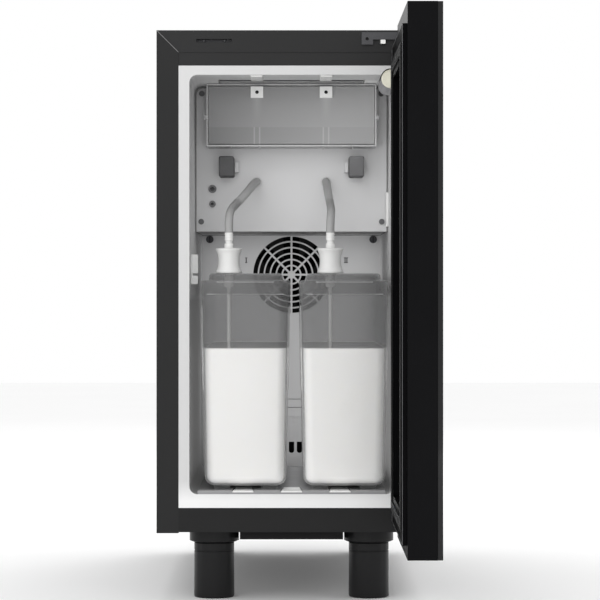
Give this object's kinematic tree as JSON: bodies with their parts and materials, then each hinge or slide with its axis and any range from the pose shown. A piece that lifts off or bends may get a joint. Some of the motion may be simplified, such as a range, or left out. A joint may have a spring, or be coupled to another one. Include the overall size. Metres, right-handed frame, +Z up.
{
  "type": "milk cooler",
  "caption": "Narrow refrigerated cabinet on levelling feet with a side-hinged door, twin lidded milk containers, hoses and a service panel.",
  "frame": {"origin": "on the floor, under the middle of the appliance with its door open at a right angle", "axes": "+X to the right as seen from the front, +Y into the cabinet, +Z up"},
  "size_m": [0.2713, 0.8148, 0.5714],
  "materials": {
    "cabinet_paint": "satin",
    "frame_paint": "satin",
    "liner_white": "satin",
    "insulation": "matte",
    "foot_plastic": "satin",
    "compressor_black": "satin",
    "coil_aluminium": "satin",
    "fan_plastic": "satin",
    "copper_line": "satin",
    "duct_grey": "matte",
    "panel_white": "satin",
    "screw_steel": "satin",
    "screw_dark": "satin",
    "latch_rubber": "matte",
    "frosted_grey": "satin",
    "white_plastic": "gloss",
    "lamp_cream": "satin",
    "tray_grey": "matte",
    "door_dark": "satin",
    "door_panel_black": "satin",
    "seal_black": "matte",
    "door_glass": "gloss",
    "bracket_steel": "satin",
    "clear_plastic": "gloss",
    "milk": "gloss",
    "hose_silicone": "satin",
    "fitting_steel": "satin"
  },
  "bodies": {
    "cabinet": {"base_plate": "cabinet_paint", "cabinet_shell": "cabinet_paint", "cartridge_bay": "frosted_grey", "compressor": "compressor_black", "condenser": "coil_aluminium", "condenser_fan_frame": "fan_plastic", "control_box": "fan_plastic", "duct_panel": "duct_grey", "duct_screws": "screw_dark", "evaporator": "coil_aluminium", "evaporator_fan_frame": "fan_plastic", "floor_tray": "tray_grey", "foot_sockets": "foot_plastic", "front_bottom_rail": "frame_paint", "front_header": "frame_paint", "front_stiles": "frame_paint", "front_top_rail": "frame_paint", "hinge_brackets": "bracket_steel", "inner_liner": "liner_white", "insulation_foam": "insulation", "lamp_housing": "frosted_grey", "lamp_lens": "lamp_cream", "latch_keepers": "panel_white", "lock_receiver": "screw_dark", "milk_pumps": "fan_plastic", "panel_ports": "white_plastic", "power_inlet": "fan_plastic", "rear_cover": "cabinet_paint", "refrigerant_lines": "copper_line", "service_panel": "panel_white", "service_screws": "screw_steel", "wall_clips": "white_plastic"},
    "door": {"door_frame": "door_dark", "door_core": "insulation", "door_inner_panel": "door_panel_black", "door_gasket": "seal_black", "door_glass": "door_glass"},
    "evaporator_rotor": {"evaporator_fan_rotor": "fan_plastic"},
    "condenser_rotor": {"condenser_fan_rotor": "fan_plastic"},
    "flap": {"bay_flap": "frosted_grey", "flap_bosses": "white_plastic"},
    "left_latch": {"latch_left": "latch_rubber"},
    "right_latch": {"latch_right": "latch_rubber"},
    "switch_plunger": {"door_switch_plunger": "white_plastic"},
    "sleeve_front_left": {"foot_front_left": "foot_plastic"},
    "sleeve_front_right": {"foot_front_right": "foot_plastic"},
    "sleeve_rear_left": {"foot_rear_left": "foot_plastic"},
    "sleeve_rear_right": {"foot_rear_right": "foot_plastic"},
    "left_container": {"container_left_tub": "clear_plastic", "container_left_milk": "milk"},
    "left_lid": {"container_left_lid": "clear_plastic", "container_left_cap": "white_plastic", "container_left_fitting": "fitting_steel", "container_left_hose": "hose_silicone"},
    "right_container": {"container_right_tub": "clear_plastic", "container_right_milk": "milk"},
    "right_lid": {"container_right_lid": "clear_plastic", "container_right_cap": "white_plastic", "container_right_fitting": "fitting_steel", "container_right_hose": "hose_silicone"}
  },
  "joints": [
    {"name": "door_hinge", "type": "hinge", "parent": "cabinet", "child": "door", "pos_m": [0.1198, -0.152, 0.32], "axis": [0, 0, 1], "range_deg": [-90, 12]},
    {"name": "evaporator_fan_spin", "type": "hinge", "parent": "cabinet", "child": "evaporator_rotor", "pos_m": [0, 0.26, 0.3281], "axis": [0, 1, 0], "continuous": true},
    {"name": "condenser_fan_spin", "type": "hinge", "parent": "cabinet", "child": "condenser_rotor", "pos_m": [0, 0.35, 0.4], "axis": [0, 1, 0], "continuous": true},
    {"name": "flap_hinge", "type": "hinge", "parent": "cabinet", "child": "flap", "pos_m": [0, -0.0105, 0.4914], "axis": [-1, 0, 0], "range_deg": [0, 30]},
    {"name": "left_latch_slide", "type": "slide", "parent": "cabinet", "child": "left_latch", "axis": [-1, 0, 0], "range_m": [0, 0.004]},
    {"name": "right_latch_slide", "type": "slide", "parent": "cabinet", "child": "right_latch", "axis": [1, 0, 0], "range_m": [0, 0.004]},
    {"name": "door_switch_press", "type": "slide", "parent": "cabinet", "child": "switch_plunger", "axis": [0, 1, 0], "range_m": [0, 0.003], "stiffness_N_per_m": 300},
    {"name": "left_container_slide", "type": "slide", "parent": "cabinet", "child": "left_container", "axis": [0, -1, 0], "range_m": [0, 0.34]},
    {"name": "left_lid_lift", "type": "slide", "parent": "left_container", "child": "left_lid", "axis": [0, 0, 1], "range_m": [0, 0.03]},
    {"name": "right_container_slide", "type": "slide", "parent": "cabinet", "child": "right_container", "axis": [0, -1, 0], "range_m": [0, 0.34]},
    {"name": "right_lid_lift", "type": "slide", "parent": "right_container", "child": "right_lid", "axis": [0, 0, 1], "range_m": [0, 0.03]},
    {"name": "front_left_foot_height", "type": "slide", "parent": "cabinet", "child": "sleeve_front_left", "axis": [0, 0, -1], "range_m": [0, 0.012]},
    {"name": "front_right_foot_height", "type": "slide", "parent": "cabinet", "child": "sleeve_front_right", "axis": [0, 0, -1], "range_m": [0, 0.012]},
    {"name": "rear_left_foot_height", "type": "slide", "parent": "cabinet", "child": "sleeve_rear_left", "axis": [0, 0, -1], "range_m": [0, 0.012]},
    {"name": "rear_right_foot_height", "type": "slide", "parent": "cabinet", "child": "sleeve_rear_right", "axis": [0, 0, -1], "range_m": [0, 0.012]}
  ]
}
